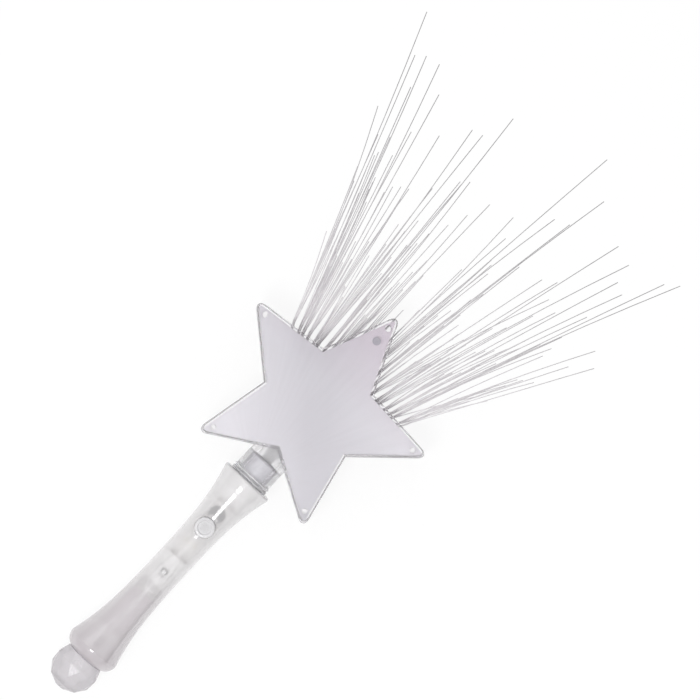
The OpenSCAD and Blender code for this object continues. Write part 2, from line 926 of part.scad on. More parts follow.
module neck_tube() {
    outer = neck_d / 2;
    color("aliceblue")
        lay_down()
            rotate_extrude()
                polygon(concat(
                    [[neck_bore_r, neck_low], [outer, neck_low]],
                    [[outer, flange_high - flange_t], [outer + flange_proud, flange_high - flange_t]],
                    [[outer + flange_proud, flange_high], [outer, flange_high]],
                    [for (i = [0 : bead_steps]) let (a = 180 * i / bead_steps)
                        [outer + bead_proud * sin(a), handle_len + fit + bead_h * (1 - cos(a)) / 2]],
                    [[outer, neck_top], [neck_bore_r, neck_top]]
                ));
}

module fibre_collar() {
    outer = neck_bore_r - fit;
    bore_r = potting_r + fit;
    well_top = holder_top + collar_well_h;
    color("lightgray")
        lay_down()
            rotate_extrude()
                polygon([
                    [collar_well_d / 2, holder_top],
                    [outer, holder_top],
                    [outer, collar_high - collar_mouth],
                    [outer - collar_mouth, collar_high],
                    [bore_r + collar_mouth, collar_high],
                    [bore_r, collar_high - collar_mouth],
                    [bore_r, well_top],
                    [collar_well_d / 2, well_top],
                ]);
}

module fibre_spray() {
    rings = 2 + len(bend_shares) + len(free_shares);
    corners = rings * fibre_sides;
    fibres = [for (tuft = [0 : tuft_count - 1], k = [0 : fibres_per_tuft - 1]) [tuft, k]];
    color("lightgray")
        lay_down() {
            translate([0, 0, holder_top + collar_well_h])
                cylinder(r = potting_r, h = potting_t);
            polyhedron(
                [for (f = fibres) each tube_points(fibre_route(f[0], f[1]), fibre_d, fibre_sides)],
                [for (i = [0 : len(fibres) - 1]) each tube_faces(rings, fibre_sides, i * corners)]
            );
        }
}

// Flat shape of the star drawn up from the split plane towards the front
module star_block(inset, t) {
    translate([0, 0, star_z])
        rotate([90, 0, 0])
            linear_extrude(t)
                polygon(star_outline(inset));
}

// Places near the star's tips, with Z pointing to the front
module at_tips() {
    for (i = [0 : star_points - 1])
        facing_front(star_z)
            rotate([0, 0, 90 + i * star_turn_angle])
                translate([peg_ring_r, 0, 0])
                    children();
}

// Wedge that the fibres fan out through, on both sides of the top point
module fan_slot() {
    reach = slot_reach_share * star_r;
    from = [sin(slot_from_angle), cos(slot_from_angle)];
    to = [sin(slot_to_angle), cos(slot_to_angle)];
    for (side = [0, 1])
        mirror([side, 0, 0])
            translate([0, slot_half, star_z - sharp_r * notch_share])
                rotate([90, 0, 0])
                    linear_extrude(2 * slot_half)
                        polygon([[0, 0], reach * from, reach * to]);
}

// Half of the star's shell: a plate with its walls, cut for the neck and the fibres, and a cross rib that
// stops the neck and leaves room for the insert
module star_half() {
    difference() {
        star_block(0, half_t);
        translate([0, overrun, 0])
            star_block(star_wall, half_t - star_wall + overrun);
        translate([0, 0, handle_len])
            cylinder(d = neck_d + 2 * fit, h = neck_len + fit);
        fan_slot();
    }
    difference() {
        intersection() {
            star_block(star_wall * root_share, film_depth - fit);
            translate([-star_r, -half_t, neck_top + fit])
                cube([2 * star_r, half_t, stop_t]);
        }
        translate([0, 0, neck_top])
            cylinder(r = neck_bore_r, h = star_r);
    }
}

module star_front_shell() {
    color("white")
        lay_down()
            difference() {
                union() {
                    star_half();
                    at_tips() {
                        cylinder(d = peg_d, h = half_t - star_wall * root_share);
                        translate([0, 0, -spigot_h])
                            cylinder(d = spigot_d, h = spigot_h + overrun);
                    }
                }
                facing_front(star_z + gate_ring_r)
                    translate([0, 0, half_t - gate_depth])
                        cylinder(d = gate_d, h = gate_depth + overrun);
            }
}

module star_back_shell() {
    color("white")
        lay_down()
            mirror([0, 1, 0])
                difference() {
                    union() {
                        star_half();
                        at_tips()
                            cylinder(d = socket_d, h = half_t - star_wall * root_share);
                    }
                    at_tips()
                        translate([0, 0, -overrun])
                            cylinder(d = spigot_d + fit, h = spigot_h + fit + overrun);
                }
}

// Satin insert that lies in the front half, with holes for the pegs and room for the neck behind it
module insert() {
    difference() {
        translate([0, -film_depth, 0])
            star_block(star_wall + film_gap, film_t);
        at_tips()
            cylinder(d = socket_d + 2 * fit, h = half_t);
        translate([0, 0, handle_len])
            cylinder(d = neck_d + 2 * fit, h = neck_len + fit);
    }
}

module front_insert() {
    color("thistle")
        lay_down()
            insert();
}

module back_insert() {
    color("thistle")
        lay_down()
            mirror([0, 1, 0])
                insert();
}

// Corners of one row of the ball, each row turned by half a facet from the last
function facet_row(row) =
    let (level = lerp(table_angle, seat_angle, row / facet_rows))
    [for (i = [0 : facet_count - 1]) let (a = 360 * (i + row % 2 / 2) / facet_count)
        ball_d / 2 * [cos(level) * cos(a), cos(level) * sin(a), sin(level)]];

// Triangles between the ball's rows, which lean one way and then the other
facet_faces = concat(
    [for (row = [0 : facet_rows - 1], i = [0 : facet_count - 1])
        let (
            low = row * facet_count,
            high = low + facet_count,
            next = (i + 1) % facet_count,
            shift = row % 2
        )
        each shift == 0
            ? [[low + i, high + i, low + next], [low + next, high + i, high + next]]
            : [[low + i, high + i, high + next], [low + i, high + next, low + next]]],
    [[for (i = [0 : facet_count - 1]) i]],
    [[for (i = [facet_count - 1 : -1 : 0]) facet_rows * facet_count + i]]
);

module faceted_ball() {
    color("lightgray")
        lay_down() {
            translate([0, 0, -ball_drop])
                polyhedron([for (row = [0 : facet_rows]) each facet_row(row)], facet_faces);
            translate([0, 0, -ball_drop])
                cylinder(d = stem_d, h = ball_drop + floor_t + fit + stem_flange_t);
            translate([0, 0, floor_t + fit])
                cylinder(d = stem_flange_d, h = stem_flange_t);
        }
}

handle_front_shell();
handle_rear_shell();
handle_screws();
battery_door();
battery_door_screw();
battery_tray();
button_cells();
negative_contact();
positive_contact();
positive_wire();
negative_wire();
circuit_board();
chip_blob();
resistors();
switch_body();
switch_plunger();
button_cap();
led_holder();
leds();
led_wires();
neck_tube();
fibre_collar();
fibre_spray();
star_front_shell();
star_back_shell();
front_insert();
back_insert();
faceted_ball();
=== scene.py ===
"""Light-up star wand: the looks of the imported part, laid out as an add-on and run as a script."""
import math

import bmesh
import bpy
from bpy.props import FloatProperty, FloatVectorProperty, IntProperty, PointerProperty
from mathutils import Matrix, Vector


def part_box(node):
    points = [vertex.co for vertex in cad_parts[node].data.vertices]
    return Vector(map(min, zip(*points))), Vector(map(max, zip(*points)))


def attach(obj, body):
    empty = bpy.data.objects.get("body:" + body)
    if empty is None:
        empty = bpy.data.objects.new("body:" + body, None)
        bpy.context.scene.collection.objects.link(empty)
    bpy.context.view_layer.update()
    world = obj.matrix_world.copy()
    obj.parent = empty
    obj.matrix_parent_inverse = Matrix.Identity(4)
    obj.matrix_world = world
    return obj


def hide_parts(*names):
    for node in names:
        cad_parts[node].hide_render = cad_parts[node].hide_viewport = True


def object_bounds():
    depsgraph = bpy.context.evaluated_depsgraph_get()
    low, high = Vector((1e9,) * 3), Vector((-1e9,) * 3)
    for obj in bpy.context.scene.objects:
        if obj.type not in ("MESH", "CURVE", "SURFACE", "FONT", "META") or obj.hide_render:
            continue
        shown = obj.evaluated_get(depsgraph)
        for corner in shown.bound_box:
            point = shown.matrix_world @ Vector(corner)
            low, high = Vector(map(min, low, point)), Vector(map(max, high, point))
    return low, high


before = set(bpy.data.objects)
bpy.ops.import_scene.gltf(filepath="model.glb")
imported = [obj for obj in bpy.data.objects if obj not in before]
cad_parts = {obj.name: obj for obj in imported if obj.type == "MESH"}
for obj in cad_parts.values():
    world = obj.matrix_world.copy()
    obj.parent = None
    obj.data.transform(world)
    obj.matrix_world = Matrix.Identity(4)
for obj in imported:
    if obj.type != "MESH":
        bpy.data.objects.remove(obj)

bl_info = {
    "name": "Light-up star wand",
    "version": (1, 0, 0),
    "blender": (4, 5, 0),
    "location": "View3D > Sidebar > Star wand",
    "description": "Dresses the packed wand with smooth shells, a fibre spray and procedural finishes",
    "category": "Object",
}

CAD_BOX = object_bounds()
# The front half of the handle starts at the foot and at the split plane
FOOT_Y, SPLIT_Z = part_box("handle_front_shell")[0].yz
MM = 0.001
# Joint line between the star's halves, open enough for light to tell them apart
SEAM = 0.05 * MM
STAR_POINTS = 5
# How far the camera is turned about the vertical, and the direction that is right in its picture
CAMERA_TURN = math.radians(42.65)
IMAGE_RIGHT = (math.cos(CAMERA_TURN), math.sin(CAMERA_TURN), 0)

# Each tuft of the spray: where it leaves the star, where it ends, and how high, as shares of half the
# width at the star, half the width at the tips, and the rise
TUFTS = (
    (-0.95, -0.85, 0.65), (-0.92, -1, 0.96), (-0.89, -0.89, 0.84), (-0.85, -0.84, 0.86),
    (-0.81, -0.79, 0.76), (-0.77, -0.76, 0.87), (-0.72, -0.65, 0.80), (-0.67, -0.50, 0.71),
    (-0.60, -0.42, 0.49), (-0.57, -0.39, 0.79), (-0.52, -0.33, 0.80), (-0.44, -0.27, 0.90),
    (-0.40, -0.25, 0.65), (-0.36, -0.21, 0.67), (-0.28, -0.14, 0.53), (-0.23, -0.10, 0.59),
    (-0.17, -0.05, 0.66), (0.09, 0.09, 0.68), (0.13, 0.25, 1), (0.18, 0.26, 0.76),
    (0.24, 0.34, 0.78), (0.32, 0.39, 0.90), (0.40, 0.43, 0.60), (0.46, 0.53, 0.57),
    (0.54, 0.61, 0.83), (0.60, 0.72, 0.81), (0.68, 0.74, 0.75), (0.75, 0.80, 0.73),
    (0.82, 0.93, 0.84), (0.87, 1, 0.87), (0.91, 0.85, 0.46), (0.95, 0.90, 0.55),
    (0.99, 0.96, 0.51),
)
# Reach, lean and place of each fibre in a tuft, as shares of the longest one's
REACH_SHARES = (1, 0.64, 0.46, 0.3)
LEAN_SHARES = (1, 0.93, 1.06, 0.88)
STEP_SHARES = (0, 0.014, -0.012, 0.006)
GOLDEN_SHARE = 0.618034
# Three tufts share a column across, with each fibre in its own layer from front to back. The pitches are how
# far apart those lie in the collar, how far apart in the slot, and how much further at the tips
COLUMN_TUFTS = 3
COLUMNS, LAYERS = len(TUFTS) // COLUMN_TUFTS, COLUMN_TUFTS * len(REACH_SHARES)
COLLAR_PITCH, ROOT_PITCH, TIP_PITCH = 0.52 * MM, 0.7 * MM, 0.8 * MM
# Width of the slot over that of the layers, and the angles from the star's upright that it opens between
SLOT_ROOM = 1.35
SLOT_ANGLES = (math.radians(2), math.radians(41))
# The fibres leave the star at this share of its notch radius above its middle, in uneven bunches this far
# apart: how strongly they are drawn together, and how far and how fast the places of the bunches vary
ROOT_SHARE = 0.815
BUNCH, BUNCH_PULL, BUNCH_DRIFT, BUNCH_TURN = 3.2 * MM, 0.55, 0.35, 2.4
# A tuft is far from the next one past this share of half the spray's width at the star
WIDE_GAP = 0.055


def linear(hex_colour):
    """An sRGB hex colour as the linear RGBA that a shader takes."""
    parts = [int(hex_colour[i:i + 2], 16) / 255 for i in (1, 3, 5)]
    return [p / 12.92 if p <= 0.04045 else ((p + 0.055) / 1.055) ** 2.4 for p in parts] + [1]


def length(name, description, default):
    """A size in metres."""
    return FloatProperty(name=name, description=description, default=default, min=0, unit="LENGTH",
                         precision=5)


def colour(name, description, hex_colour):
    """A colour that a user can change."""
    return FloatVectorProperty(name=name, description=description, default=linear(hex_colour)[:3],
                               size=3, min=0, max=1, subtype="COLOR")


class StarWandSizes(bpy.types.PropertyGroup):
    """Sizes of the pieces that are modelled here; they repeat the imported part's own."""

    star_r: length("Star radius", "From the star's middle to a tip", 56.2 * MM)
    star_up: length("Star height", "From the handle's foot to the star's middle", 164.0 * MM)
    point_angle: FloatProperty(name="Point angle", description="Angle of each of the star's points",
                               default=math.radians(47.2), subtype="ANGLE")
    tip_round: length("Tip rounding", "Radius of the star's tips", 2.4 * MM)
    star_t: length("Star thickness", "Thickness of the whole star", 24.8 * MM)
    star_wall: length("Star wall", "Thickness of the star's walls and plates", 1.2 * MM)
    star_edge: length("Star edge", "Rounding of the star's outer edges", 0.7 * MM)
    peg_ring_r: length("Peg ring", "From the star's middle to its pegs", 50.4 * MM)
    peg_d: length("Peg width", "Diameter of the star's pegs", 2.4 * MM)
    gate_ring_r: length("Gate mark place", "From the star's middle to the moulding mark", 42.2 * MM)
    gate_d: length("Gate mark width", "Diameter of the moulding mark", 4 * MM)
    neck_d: length("Neck width", "Outer diameter of the clear neck", 20.2 * MM)
    neck_top: length("Neck top", "From the handle's foot to the top of the neck", 139.4 * MM)
    neck_wall: length("Neck wall", "Thickness of the neck's wall", 2 * MM)
    ball_d: length("Ball width", "Diameter of the faceted ball", 24 * MM)
    ball_drop: length("Ball drop", "From the handle's foot down to the ball's middle", 6.9 * MM)
    facet_count: IntProperty(name="Facets", description="Facets round the ball", default=12, min=6)
    facet_rows: IntProperty(name="Facet rows", description="Rows of facets on the ball", default=4, min=2)
    facet_edge: length("Facet edge", "Rounding of the ball's edges", 0.12 * MM)
    fibre_d: length("Fibre width", "Diameter of one fibre", 0.4 * MM)
    fibre_low: length("Fibre foot", "From the handle's foot to the fibres' lower ends", 117.75 * MM)
    collar_high: length("Collar top", "From the handle's foot to where the fibres start to fan", 128 * MM)
    root_half_w: length("Spray root", "Half the spray's width where it leaves the star", 37.4 * MM)
    spray_half_w: length("Spray tips", "Half the spray's width at the tips", 89 * MM)
    spray_top: length("Spray top", "From the star's middle to the highest tip", 180.6 * MM)


class StarWandColours(bpy.types.PropertyGroup):
    """Colours of the finishes."""

    handle: colour("Handle", "Frosted plastic of the handle", "#F8F6F7")
    button: colour("Button", "Milky plastic of the button", "#F2F1F3")
    clear: colour("Clear plastic", "Clear plastic of the star and the neck", "#FAF8FB")
    film: colour("Film", "Satin film in the star", "#E8E6EB")
    fibre: colour("Fibres", "Clear fibres seen against the light", "#FFFCFE")
    ball: colour("Ball", "Faceted ball", "#DAD6DA")
    floor: colour("Floor", "Floor under the wand", "#FFFFFF")


# ---------------------------------------------------------------------------------------------------
# Small tools
# ---------------------------------------------------------------------------------------------------

def sizes():
    """The sizes that a user can change."""
    return bpy.context.scene.star_wand_sizes


def colours():
    """The colours that a user can change."""
    return bpy.context.scene.star_wand_colours


def spot(x, up, front):
    """A point of the wand: across, from the handle's foot up, and from the split plane to the front."""
    return Vector((x, FOOT_Y + up, SPLIT_Z + front))


def y_at(up):
    """The frame's Y at a height above the handle's foot."""
    return spot(0, up, 0).y


def add(tree, kind, inputs=None, **settings):
    """Adds a shader node, with its settings and with each input linked or set."""
    made = tree.nodes.new("ShaderNode" + kind)
    for name, value in settings.items():
        setattr(made, name, value)
    for name, value in (inputs or {}).items():
        if isinstance(value, bpy.types.NodeSocket):
            tree.links.new(value, made.inputs[name])
        else:
            made.inputs[name].default_value = value
    return made


def ramp(tree, value, low, high, start=0.0, end=1.0, **settings):
    """A number that goes from start to end while a value goes from low to high."""
    return add(tree, "MapRange", {"Value": value, "From Min": low, "From Max": high, "To Min": start,
                                  "To Max": end}, **settings).outputs["Result"]


def zone(tree, y, low, high, start=0.0, end=1.0):
    """A number that goes from start to end between two heights above the handle's foot."""
    return ramp(tree, y, y_at(low), y_at(high), start, end)


def calc(tree, operation, *numbers):
    """The result of a calculation with numbers."""
    return add(tree, "Math", dict(enumerate(numbers)), operation=operation).outputs["Value"]


def vector_calc(tree, operation, *vectors, output="Vector"):
    """The result of a calculation with vectors."""
    return add(tree, "VectorMath", dict(enumerate(vectors)), operation=operation).outputs[output]


def axis(tree, vector, name):
    """One part of a vector: X, Y or Z."""
    return add(tree, "SeparateXYZ", {"Vector": vector}).outputs[name]


def noise(tree, vector, width, detail):
    """Random clouds of a width."""
    return add(tree, "TexNoise", {"Vector": vector, "Scale": 1 / width, "Detail": detail}).outputs["Fac"]


def bumped(tree, relief, strength, depth):
    """The normal of a surface with a relief."""
    return add(tree, "Bump", {"Height": relief, "Strength": strength,
                              "Distance": depth}).outputs["Normal"]


def blend(tree, share, one, other, kind="MIX"):
    """A colour on the way from one to another, or to their product."""
    return add(tree, "Mix", {0: share, 6: one, 7: other}, data_type="RGBA", blend_type=kind).outputs[2]


def node_of(tree, kind):
    """The first node of a kind in a shader."""
    return next(n for n in tree.nodes if n.type == kind)


def rgba(value):
    """A hex colour, or one that a user can change, as the RGBA that a shader takes."""
    return linear(value) if isinstance(value, str) else [*value, 1]


def finish(name, see_through=0.0, **shader):
    """A material with one Principled shader, and its coordinates. Thin clear or milky plastic lets a share
    of the light straight through, most where it faces the eye."""
    material = bpy.data.materials.new(name)
    material.use_nodes = True
    tree = material.node_tree
    tree.nodes.clear()
    surface = add(tree, "BsdfPrincipled", {k.replace("_", " ").title().replace("Ior", "IOR"): v
                                           for k, v in shader.items()})
    skin = surface.outputs["BSDF"]
    if see_through:
        tilt = add(tree, "LayerWeight", {"Blend": 0.4}).outputs["Facing"]
        share = ramp(tree, tilt, 0, 1, 1 - see_through, 1 - see_through / 4)
        hole = add(tree, "BsdfTransparent").outputs["BSDF"]
        skin = add(tree, "MixShader", {0: share, 1: hole, 2: skin}).outputs["Shader"]
    add(tree, "OutputMaterial", {"Surface": skin})
    return material, tree, surface, add(tree, "TexCoord").outputs["Object"]


def moulded(name, deep, pale, cloud_mm, grain_mm, grain_share, rough, **shader):
    """Moulded plastic: slow clouds between two close tones, a fine grain, and uneven gloss."""
    material, tree, surface, coords = finish(name, **shader)
    clouds = noise(tree, coords, cloud_mm * MM, 3.0)
    tone = blend(tree, clouds, rgba(deep), rgba(pale))
    gloss = ramp(tree, clouds, 0, 1, rough * 0.8, rough * 1.2)
    grain = noise(tree, coords, grain_mm * MM, 2.0)
    tree.links.new(tone, surface.inputs["Base Color"])
    tree.links.new(gloss, surface.inputs["Roughness"])
    tree.links.new(bumped(tree, grain, grain_share, 0.05 * MM), surface.inputs["Normal"])
    return material


def mesh_of(name, bm):
    """A mesh with the shape that was built, which is then freed."""
    mesh = bpy.data.meshes.new(name)
    bm.to_mesh(mesh)
    bm.free()
    return mesh


def placed(name, data):
    """A new object in the scene."""
    made = bpy.data.objects.new(name, data)
    bpy.context.scene.collection.objects.link(made)
    return made


def piece(name, shape, material, slot, body, *nodes, angle=20):
    """Puts a finished shape in the scene as a piece that rides a body and stands for CAD nodes. It shades
    smoothly, with the edges past an angle kept sharp."""
    mesh = mesh_of(name, shape) if isinstance(shape, bmesh.types.BMesh) else shape
    mesh.materials.clear()
    mesh.materials.append(material)
    for polygon in mesh.polygons:
        polygon.material_index = 0
    mesh.shade_smooth()
    mesh.set_sharp_from_angle(angle=math.radians(angle))
    made = placed(name, mesh)
    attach(made, body)
    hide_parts(*nodes)
    return made


def repaint(made, material, wanted):
    """Gives the faces of a piece that pass a test another material."""
    made.data.materials.append(material)
    for face in made.data.polygons:
        if wanted(face):
            face.material_index = len(made.data.materials) - 1


def merged(node):
    """A merged copy of a CAD node's loose triangles, so that its round faces can shade smoothly."""
    bm = bmesh.new()
    bm.from_mesh(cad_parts[node].data)
    bmesh.ops.remove_doubles(bm, verts=bm.verts, dist=1e-6)
    for layers in (bm.loops.layers.float_vector, bm.loops.layers.int, bm.loops.layers.uv):
        for layer in list(layers.values()):
            layers.remove(layer)
    mesh = mesh_of(node, bm)
    for name in ("custom_normal", "sharp_edge"):
        if name in mesh.attributes:
            mesh.attributes.remove(mesh.attributes[name])
    return mesh


def dress(material, *nodes):
    """Gives CAD nodes that keep their shape a better material."""
    for node in nodes:
        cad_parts[node].material_slots[0].material = material


def carve(bm, other, operation):
    """One shape cut from, or joined to, another."""
    whole, tool = [placed("carving", mesh_of("carving", shape)) for shape in (bm, other)]
    cut = whole.modifiers.new("cut", "BOOLEAN")
    cut.object, cut.operation, cut.solver = tool, operation, "EXACT"
    result = bmesh.new()
    result.from_mesh(whole.evaluated_get(bpy.context.evaluated_depsgraph_get()).data)
    for obj in (whole, tool):
        mesh = obj.data
        bpy.data.objects.remove(obj)
        bpy.data.meshes.remove(mesh)
    return result


def bevel(bm, edges, width, segments):
    """Rounds edges, or cuts them flat with one segment."""
    bmesh.ops.bevel(bm, geom=edges, offset=width, segments=segments, profile=0.5, affect="EDGES",
                    material=-1)


def raise_faces(bm, faces, rise, keep):
    """Extrudes faces to the front, and keeps or drops those that they came from."""
    made = bmesh.ops.extrude_face_region(bm, geom=faces, use_keep_orig=keep)["geom"]
    if not keep:
        bmesh.ops.delete(bm, geom=faces, context="FACES_ONLY")
    bmesh.ops.translate(bm, verts=[g for g in made if isinstance(g, bmesh.types.BMVert)],
                        vec=(0, 0, rise))


def turned(profile, steps):
    """A closed profile of points, spun round the wand's length into a solid ring or rod."""
    bm = bmesh.new()
    corners = [bm.verts.new(p) for p in profile]
    edges = [bm.edges.new(pair) for pair in zip(corners, corners[1:] + corners[:1])]
    bmesh.ops.spin(bm, geom=corners + edges, cent=spot(0, 0, 0), axis=(0, 1, 0), angle=math.tau,
                   steps=steps, use_merge=True)
    bmesh.ops.remove_doubles(bm, verts=bm.verts, dist=1e-7)
    bmesh.ops.recalc_face_normals(bm, faces=bm.faces)
    return bm


def rod(bm, low, high, radius, segments):
    """A capped rod between two points."""
    run = high - low
    turn = run.to_track_quat("Z", "Y").to_matrix().to_4x4()
    bmesh.ops.create_cone(bm, cap_ends=True, segments=segments, radius1=radius, radius2=radius,
                          depth=run.length, matrix=Matrix.Translation((low + high) / 2) @ turn)


# ---------------------------------------------------------------------------------------------------
# Handle, button, neck and what shows dimly inside
# ---------------------------------------------------------------------------------------------------

class STARWAND_OT_handle(bpy.types.Operator):
    """Smooth frosted halves of the handle, with the battery door"""

    bl_idname = "star_wand.handle"
    bl_label = "Handle halves and battery door"

    def execute(self, context):
        tone = colours().handle
        deep = [c * 0.96 for c in tone]
        frosted = self.frosted(deep, tone)
        # Its polished inner skin: hardly there, with a faint shine
        inner = moulded("polished_polypropylene_moulded", deep, tone, cloud_mm=14, grain_mm=0.6,
                        grain_share=0.05, rough=0.2, ior=1.49, see_through=0.9)
        end, screw_bore, outwards = 0.5 * MM, 1.2 * MM, 1 * MM
        for node, name, body in (("handle_front_shell", "handle_front_half", "wand"),
                                 ("handle_rear_shell", "handle_rear_half", "wand"),
                                 ("battery_door", "battery_door_panel", "battery_door")):
            half = piece(name, merged(node), frosted, "frosted_plastic", body, node)
            # The skin is on all that doesn't face away from the wand's axis, but for ends and screw bores
            low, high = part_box(node)[0].y + end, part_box(node)[1].y - end
            repaint(half, inner, lambda f: low < f.center.y < high and abs(f.center.x) > screw_bore
                    and f.center.x * f.normal.x + (f.center.z - SPLIT_Z) * f.normal.z < outwards)
        return {"FINISHED"}

    def frosted(self, deep, tone):
        # Frosted polypropylene, moulded: a milky body with a wet-looking skin that is never quite flat, so
        # highlights on it break up, and through which what lies inside shows as soft shapes
        material = moulded("frosted_polypropylene_moulded", deep, tone, cloud_mm=14, grain_mm=0.6,
                           grain_share=0.05, rough=0.35, ior=1.49, transmission_weight=0.12,
                           see_through=0.58, coat_weight=1.0, coat_roughness=0.05, coat_ior=2.0)
        tree = material.node_tree
        surface = node_of(tree, "BSDF_PRINCIPLED")
        coords = node_of(tree, "TEX_COORD").outputs["Object"]
        y = axis(tree, coords, "Y")
        # Shallow ripples 6 mm apart in its gloss, faint below and full along the upper flare
        ripple, depth, flare_low, flare_high = 6 * MM, 0.6 * MM, 84 * MM, 96 * MM
        stretched = vector_calc(tree, "MULTIPLY", coords, (0.2, 1, 0.2))
        ripples = noise(tree, stretched, ripple, 1.0)
        flare = zone(tree, y, flare_low, flare_high, 0.1)
        tree.links.new(bumped(tree, ripples, flare, depth), surface.inputs["Coat Normal"])
        # The wall thickens towards the mouth and the foot, where it is whiter and hides more
        thin, thick_mouth, thick_foot = 0.41, 0.8, 0.78
        mouth = zone(tree, y, 97 * MM, 107 * MM, thin, thick_mouth)
        foot = zone(tree, y, 66 * MM, 16 * MM, thin, thick_foot)
        share = node_of(tree, "MIX_SHADER").inputs[0].links[0].from_node
        tree.links.new(calc(tree, "MAXIMUM", mouth, foot), share.inputs["To Min"])
        # Darker and rosier at the foot, fading out halfway up
        halfway = 60 * MM
        pale = surface.inputs["Base Color"].links[0].from_socket
        rosy = blend(tree, 1.0, pale, linear("#DAD4D8"), "MULTIPLY")
        cast = blend(tree, zone(tree, y, 0, halfway), rosy, pale)
        tree.links.new(cast, surface.inputs["Base Color"])
        return material


class STARWAND_OT_button(bpy.types.Operator):
    """Smooth push button with its dished face"""

    bl_idname = "star_wand.button"
    bl_label = "Push button"

    def execute(self, context):
        # Milky polypropylene, moulded glossy: paler and less clear than the handle
        tone = colours().button
        milky = moulded("milky_polypropylene_moulded", [c * 0.82 for c in tone], tone, cloud_mm=1.6,
                        grain_mm=0.5, grain_share=0.04, rough=0.3, ior=1.49, see_through=0.3,
                        coat_weight=0.5, coat_roughness=0.08)
        piece("push_button", merged("button_cap"), milky, "milky_plastic", "button", "button_cap")
        return {"FINISHED"}


def clear_plastic(name, see_through):
    """Clear polystyrene from a polished mould: almost no colour, bright glints and dark edges."""
    material, tree, surface, coords = finish(name, base_color=rgba(colours().clear), ior=1.5,
                                             transmission_weight=1.0, see_through=see_through)
    flow = noise(tree, coords, 9 * MM, 1.0)
    tree.links.new(ramp(tree, flow, 0, 1, 0.01, 0.06), surface.inputs["Roughness"])
    tree.links.new(bumped(tree, flow, 0.1, 0.3 * MM), surface.inputs["Normal"])
    return material


class STARWAND_OT_neck(bpy.types.Operator):
    """Clear neck between the handle and the star, with its rings and locking lugs"""

    bl_idname = "star_wand.neck"
    bl_label = "Clear neck"

    def execute(self, context):
        s = sizes()
        # In mm: the heights of the lower end, the handle's mouth and the top, and the radii
        low = (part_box("neck_tube")[0].y - FOOT_Y) / MM
        mouth, top = 115.4, s.neck_top / MM
        bore, outer = (s.neck_d / 2 - s.neck_wall) / MM, s.neck_d / 2 / MM
        flange, flange_low, flange_high = outer + 0.7, mouth - 4.3, mouth - 2.3
        ring_r, ring_up, ring_gap, ring_steps = 0.6, mouth + 1, 1.7, 8
        edge = 0.4
        # Radius and height of each corner: the tail with its flange, two round rings, and the tube
        profile = [(bore, low), (outer, low), (outer, flange_low), (flange, flange_low),
                   (flange, flange_high), (outer, flange_high)]
        for ring in range(2):
            middle = ring_up + ring_gap * ring
            profile += [(outer + ring_r * math.sin(a), middle - ring_r * math.cos(a))
                        for a in (math.pi * i / ring_steps for i in range(ring_steps + 1))]
        profile += [(outer, top - edge), (outer - edge, top), (bore + edge, top), (bore, top - edge)]
        bm = turned([spot(r * MM, up * MM, 0) for r, up in profile], 96)
        # Lugs that lock the neck in the handle's mouth
        lug_size, lug_edge = (3 * MM, 1 * MM, 0.9 * MM), 0.12 * MM
        lug_up, lug_out, lug_turn = (mouth + 0.6) * MM, (outer + 0.2) * MM, 20
        for i in range(4):
            turn = Matrix.Rotation(math.radians(lug_turn + 90 * i), 4, "Y")
            place = (Matrix.Translation(spot(0, lug_up, 0)) @ turn @ Matrix.Translation((0, 0, lug_out))
                     @ Matrix.Diagonal((*lug_size, 1)))
            lug = bmesh.ops.create_cube(bm, size=1, matrix=place)["verts"]
            bevel(bm, list(dict.fromkeys(e for v in lug for e in v.link_edges)), lug_edge, 2)
        neck = piece("clear_neck", bm, clear_plastic("clear_polystyrene_tube", 0.8), "clear_plastic",
                     "wand", "neck_tube", angle=30)
        # The clear rings and lugs get a milky white body: painted light that stands in for the glints they
        # catch and brightens the shaded foot of the neck
        ring_painted_light = moulded("painted_light_polystyrene_ring", "#E6E4E8", "#FFFFFF", cloud_mm=2, grain_mm=0.4,
                       grain_share=0.02, rough=0.06, ior=1.5, transmission_weight=0.35,
                       see_through=0.35, coat_weight=1.0, coat_roughness=0.03)
        proud, thick_low, thick_high = (outer + 0.02) * MM, y_at(mouth * MM), y_at((mouth + 4) * MM)
        repaint(neck, ring_painted_light, lambda f: thick_low < f.center.y < thick_high
                and (f.center - spot(0, 0, 0)).xz.length > proud)
        return {"FINISHED"}


